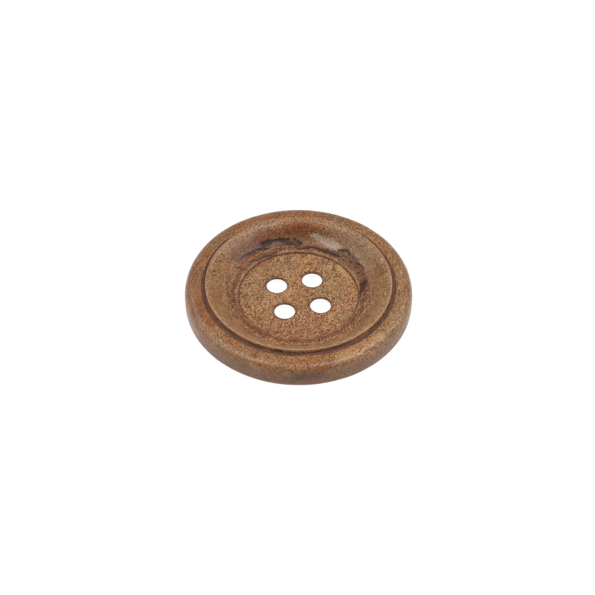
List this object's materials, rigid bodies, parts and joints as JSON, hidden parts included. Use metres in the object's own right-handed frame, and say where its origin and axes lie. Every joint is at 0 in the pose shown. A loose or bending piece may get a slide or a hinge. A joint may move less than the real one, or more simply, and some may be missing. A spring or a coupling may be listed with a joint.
{
  "type": "sew on button",
  "caption": "Round turned wooden button with a sunk floor, a raised inner ring, a crowned rim and thread holes flared at the flat back.",
  "frame": {"origin": "centre of the flat back face", "axes": "+Z out of the face, +X along one row of thread holes, +Y along the other"},
  "size_m": [0.03, 0.03, 0.0039],
  "materials": {
    "turned_wood": "satin"
  },
  "bodies": {
    "root": {"button_body": "turned_wood"}
  },
  "joints": []
}
